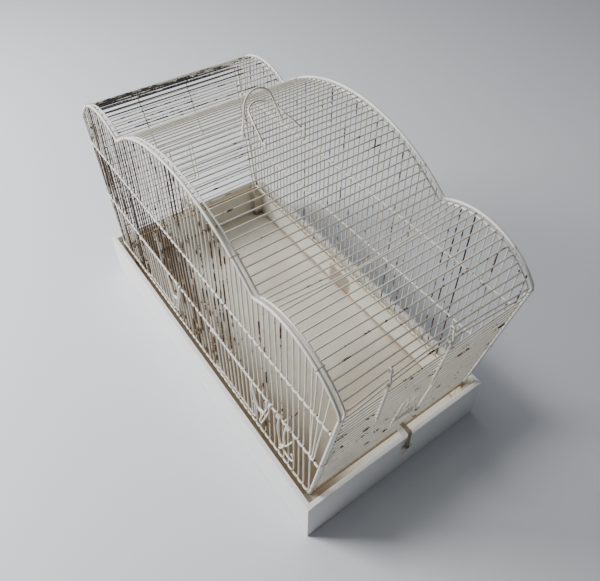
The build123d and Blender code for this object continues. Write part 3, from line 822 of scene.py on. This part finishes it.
def end_hatch(side, name):
    """A hatch hung by two wraps of its frame on an end bar, with its bars and its pull."""
    body = f"end_hatch_{name}"
    foot = HINGE_RISE - (HATCH_BARS + 0.5) * ROOF_PITCH
    wraps = []
    for across in (-HATCH_HALF, HATCH_HALF):
        start = on_wall(side, across, HINGE_RISE, EYE_REACH)
        centre = on_wall(side, across, HINGE_RISE, 0)
        wraps.append(curl(centre, (0, -side, 0), start, 0.78))
    heights = [(HINGE_RISE - 1, EYE_REACH), (HINGE_RISE - 6, 0), (foot, 0)]
    corners = [on_wall(side, -HATCH_HALF, up, out) for up, out in heights]
    corners += [on_wall(side, HATCH_HALF, up, out) for up, out in reversed(heights)]
    loop = Wires()
    loop.tube(np.vstack([wraps[0][::-1], rounded(corners, 3), wraps[1]]), BAR_R, 0.45, 10)
    loop.build(f"{name}_hatch_loop", bar_paint, body, [f"{name}_hatch_frame"])

    bars = Wires()
    reach = HATCH_HALF - 0.3
    for i in range(1, HATCH_BARS + 1):
        up = HINGE_RISE - i * ROOF_PITCH
        path = straight(on_wall(side, -reach, up, 0), on_wall(side, reach, up, 0), 9, 0.12)
        bars.tube(path, BAR_R, 0.5 + chance.gauss(0, 0.1), 10)
        for across in (-HATCH_HALF, HATCH_HALF):
            bars.bead(on_wall(side, across, up, 0), (0, 1, 0), 4.0, 1.5, 0.4)
    bars.build(f"{name}_hatch_wires", bar_paint, body, [f"{name}_hatch_bars"])

    pull = Wires()
    top = HINGE_RISE - PULL_DROP * ROOF_PITCH
    flat = BAR_R + THIN_R
    corners = [(-13, top, flat), (-13, top - 8, flat), (-12, top - 14, 9), (-4, top - 14, 9),
               (-3, top - 8, flat), (-3, top, flat)]
    pull.tube(rounded([on_wall(side, *corner) for corner in corners], 2.6), THIN_R, 0.6, 10)
    pull.build(f"{name}_pull_wire", hook_paint, body, [f"{name}_hatch_pull"])


def end_fittings():
    for side, name in ((1, "right"), (-1, "left")):
        end_rods(side, name)
        hatch_posts(side, name)
        end_hatch(side, name)


# ---------------------------------------------------------------- doors, hooks and the greens clip
STILE_FRONT = -PANEL_Y - BAR_R - THIN_R
EYE_FRONT = -RAIL_Y - RAIL_R - HINGE_GAP - THIN_R


def front_door(name, hung_on, closes_on):
    """A front door hung by two wraps of its frame on a side bar, with its bars and its spring tongue."""
    body = f"front_door_{name}"
    hinge_x = hung_on * SIDE_PITCH
    free_x = closes_on * SIDE_PITCH - STILE_INSET
    low, high = DOOR_Z
    eye = -PANEL_Y - EYE_REACH
    rim = rounded([(hinge_x, eye, high), (hinge_x + 5, -PANEL_Y, high), (free_x, -PANEL_Y, high),
                   (free_x, -PANEL_Y, low), (hinge_x + 5, -PANEL_Y, low), (hinge_x, eye, low)], 3)
    wraps = [curl((hinge_x, -PANEL_Y, end[2]), (0, 0, -1), end, 0.86) for end in (rim[0], rim[-1])]
    door = Wires()
    door.tube(np.vstack([wraps[0][::-1], rim[1:-1], wraps[1]]), BAR_R, 0.36, 10)
    door.build(f"{name}_door_loop", frame_paint, body, [f"{name}_door_frame"])

    bars = Wires()
    for i in range(hung_on + 1, closes_on):
        x = i * SIDE_PITCH
        path = straight((x, -PANEL_Y, low + 0.4), (x, -PANEL_Y, high - 0.4), 8, 0.15)
        bars.tube(path, BAR_R, 0.48 + chance.gauss(0, 0.1), 10)
        for z in DOOR_Z:
            bars.bead((x, -PANEL_Y, z), (1, 0, 0), 3.6, 1.45, 0.4)
    bars.build(f"{name}_door_wires", bar_paint, body, [f"{name}_door_bars"])

    tongue = Wires()
    down = [(0.2, 158), (2.5, 146), (7.5, 129), (14, 122), (27, 128)]
    back = [(26, 132), (15, 127), (10.5, 132), (6, 147), (4.2, 157), (1.0, 161)]
    corners = [(free_x + x, STILE_FRONT - 0.6, z) for x, z in down + back]
    tongue.tube(rounded(corners, 4.0), HOOK_R, 0.42, 10)
    for z in (159, 120):
        tongue.bead((free_x, STILE_FRONT + 0.8, z), (0, 0, 1), 6, 1.6, 0.45)
    tongue.build(f"{name}_tongue_wire", hook_paint, body, [f"{name}_door_tongue"])


def rail_wrap(start, turns, drift, steps):
    """The wrap of a hung wire's end round the front's middle rail."""
    return curl((start[0], -RAIL_Y, MIDDLE_RAIL), (1, 0, 0), start, turns, drift, steps)


def latch_hook(name, closes_on):
    """The bent wire that hangs beside a door, with both ends wound round the middle rail."""
    x = (closes_on + 3.5) * SIDE_PITCH
    bends = [(-2.35, MIDDLE_RAIL), (-2.35, 158), (-22, 104), (-17.5, 102), (2.35, 157), (2.35, MIDDLE_RAIL)]
    path = rounded([(x + dx, EYE_FRONT, z) for dx, z in bends], 2.6)
    wraps = [rail_wrap(end, -1.86, drift, 50) for end, drift in ((path[0], -3.2), (path[-1], 3.2))]
    wires = Wires()
    wires.tube(np.vstack([wraps[0][::-1], path[1:-1], wraps[1]]), HOOK_R, 0.42, 10)
    wires.build(f"{name}_hook_wire", hook_paint, f"latch_hook_{name}", [f"{name}_latch_hook"])


def greens_clip():
    """Two bowed wires twisted together below the rail, with a curled tail, a prong and ends bent inside."""
    wires = Wires()
    outer = EYE_FRONT - 1.2
    left = [(213, EYE_FRONT, MIDDLE_RAIL), (211.2, outer, 152), (213.2, outer, 134), (218.5, outer, 119),
            (222, outer + 1.6, 110), (230, outer, 111.5), (238, outer, 113), (244, outer, 120),
            (243, outer, 129), (238.5, outer, 130)]
    right = [(226.5, EYE_FRONT, MIDDLE_RAIL), (224.2, outer, 151), (226.4, outer, 132),
             (221.5, outer - 1.8, 119), (216.5, outer - 1.2, 112), (213.5, outer, 105.5)]
    prong = [(217.5, outer - 1.6, 121), (222.5, outer + 1.0, 124), (231, outer - 0.6, 137), (241.5, outer, 163)]
    for route, drift in ((left, -5.5), (right, 5.5)):
        path = rounded(route, 6)
        wires.tube(np.vstack([rail_wrap(path[0], -2.3, drift, 60)[::-1], path[1:]]), HOOK_R, 0.42, 10)
    wires.tube(rounded(prong, 5), HOOK_R, 0.42, 10)
    for turn, z in enumerate((121.5, 118.5, 115.5)):
        wires.bead((219.5 + turn * 0.4, outer, z), (1.0, 0.0, 0.3), 6, 1.6, 0.5)
    inside = [(220.4, -RAIL_Y + 1.0, 173.2), (220.4, -PANEL_Y + 4, 175), (220.8, -PANEL_Y + 12, 172),
              (221.5, -PANEL_Y + 19, 177), (220.5, -PANEL_Y + 16, 182)]
    wires.tube(rounded(inside, 3), THIN_R, 0.62, 10)
    wires.build("greens_clip_wire", hook_paint, "greens_clip", ["greens_clip"])


def doors_and_hooks():
    for name, (hung_on, closes_on) in DOORS.items():
        front_door(name, hung_on, closes_on)
        latch_hook(name, closes_on)
    greens_clip()


# ---------------------------------------------------------------- carrying bails
def bail(name, bar, middle, crown, height, lean):
    """A wire bail with its feet wrapped round a roof bar; lean is in degrees from upright to the left."""
    foot = 27.5
    angle = math.radians(lean)
    up = np.array([-math.sin(angle), 0, math.cos(angle)])
    origin = xyz(on_outline((bar + 0.5) * ROOF_PITCH), middle)
    ring = BAR_R + HINGE_GAP + BAIL_R
    corners = [origin + (0, y, 0) + up * out
               for y, out in ((-foot, ring), (-crown, height), (crown, height), (foot, ring))]
    path = rounded_arc(corners, crown * 0.98)
    wraps = [curl(origin + (0, y, 0), (0, 1, 0), end, 0.9) for y, end in ((-foot, path[0]), (foot, path[-1]))]
    wires = Wires()
    wires.tube(np.vstack([wraps[0][::-1], path[1:-1], wraps[1]]), BAIL_R, 0.5, 12)
    wires.build(f"bail_wire_{name}", bail_paint, f"bail_{name}", [f"handle_bail_{name}"])


def bails():
    bail("left", bar=-1, middle=-8.2, crown=14.8, height=48, lean=11)
    bail("right", bar=2, middle=2.0, crown=15.6, height=62, lean=71.5)


# ---------------------------------------------------------------- ties
def wire_ties():
    """Thin wire wound once round a frame wire and the roof's edge wire beside it."""
    ties = Wires()
    for place in [sign * i * ROOF_PITCH for i in TIE_BARS for sign in (-1, 1)]:
        inward = inward_at(place)
        along = np.array([inward[1], 0, -inward[0]])
        for side in (-1, 1):
            outer = xyz(on_outline(place), side * PANEL_Y)
            inner = xyz(on_outline(place, EDGE_INSET), side * EDGE_Y)
            link = inner - outer
            link /= np.linalg.norm(link)
            normal = np.cross(link, along)
            path = []
            for turn in np.linspace(0, 1.1, 40):
                angle = turn % 1.0 * 2 * math.pi
                end = outer if math.cos(angle) < 0 else inner
                ring = TIE_REACH * (math.cos(angle) * link + math.sin(angle) * normal)
                path.append(end + ring + along * (turn - 0.55) * 0.8)
            ties.tube(path, TIE_R, 0.5, 8)
    ties.build("tie_wires", tie_wire, "tray_and_cage", ["panel_clips"])


# ---------------------------------------------------------------- tray and catches
def dress_cad_nodes():
    """Give the pieces that keep the solids' shape their materials."""
    wall = tray_wall_material()
    floor = tray_floor_material()
    strap = strap_material()
    wood = block_material()
    plate = metal_material("plate_sheet", rgb(0.34, 0.30, 0.22), rgb(0.22, 0.18, 0.12), rgb(0.10, 0.06, 0.04),
                           rgb(0.70, 0.67, 0.58), 0.42)
    nail = metal_material("nail_heads", rgb(0.30, 0.28, 0.25), rgb(0.16, 0.11, 0.08), rgb(0.10, 0.05, 0.03),
                          rgb(0.78, 0.77, 0.73), 0.50)
    looks = {"tray_floor": floor, "tray_corner_blocks": wood, "tray_nails": nail, "catch_screws": nail}
    for name in ("front", "back", "left", "right"):
        looks[f"tray_wall_{name}"] = wall
    for name in ("left", "right"):
        looks[f"catch_plate_{name}"] = plate
        looks[f"catch_pin_{name}"] = nail
        looks[f"tray_catch_{name}"] = strap
    for node, material in looks.items():
        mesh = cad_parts[node].data
        mesh.materials.clear()
        mesh.materials.append(material)


# ---------------------------------------------------------------- stage, light and camera
def soft_box(name, place, size, power, colour):
    """A rectangular lamp that looks at the middle of the cage."""
    data = bpy.data.lights.new(name, "AREA")
    data.shape = "RECTANGLE"
    data.size, data.size_y = size
    data.energy = power
    data.color = colour
    lamp = bpy.data.objects.new(name, data)
    lamp.location = place
    lamp.rotation_euler = (Vector((0, 0, 0.2)) - Vector(place)).to_track_quat("-Z", "Y").to_euler()
    bpy.context.scene.collection.objects.link(lamp)


def stage():
    """A pale floor, soft light from the left and from above, and the camera."""
    bpy.ops.mesh.primitive_plane_add(size=12, location=(0, 0, -0.0003))
    ground = bpy.context.object
    ground.name = "ground"
    s = Shader("ground_paint")
    cloud = s.noise(s.place(), 0.8, 2.0, 0.5)
    coat = s.mix(cloud, rgb(0.70, 0.72, 0.76), rgb(0.74, 0.76, 0.79))
    ground.data.materials.append(s.finish(coat, 0.55))

    world = bpy.data.worlds.new("room")
    world.use_nodes = True
    background = world.node_tree.nodes["Background"]
    background.inputs["Color"].default_value = rgb(0.80, 0.84, 0.90)
    background.inputs["Strength"].default_value = 0.155
    bpy.context.scene.world = world

    soft_box("window", (-1.25, -1.45, 1.25), (0.9, 0.8), 88, (1.0, 0.99, 0.97))
    soft_box("ceiling", (-0.9, -0.3, 2.0), (1.6, 1.6), 14, (0.95, 0.97, 1.0))

    data = bpy.data.cameras.new("view")
    data.sensor_width = 36.0
    data.lens = 35.33
    data.shift_x = -0.0093
    data.shift_y = -0.0771
    data.dof.use_dof = False
    camera = bpy.data.objects.new("view", data)
    azimuth = math.radians(-53.2136)
    dive = math.radians(43.9942)
    camera.location = (0.50549, -0.32336, 0.78186)
    ahead = Vector((math.sin(azimuth) * math.cos(dive), math.cos(azimuth) * math.cos(dive), -math.sin(dive)))
    camera.rotation_euler = ahead.to_track_quat("-Z", "Y").to_matrix().to_4x4().to_euler()
    camera.rotation_euler.rotate_axis("Z", math.radians(0.9243))
    bpy.context.scene.collection.objects.link(camera)
    bpy.context.scene.camera = camera


cage_frames()
side_panels()
roof_wires()
end_fittings()
doors_and_hooks()
bails()
wire_ties()
dress_cad_nodes()
stage()
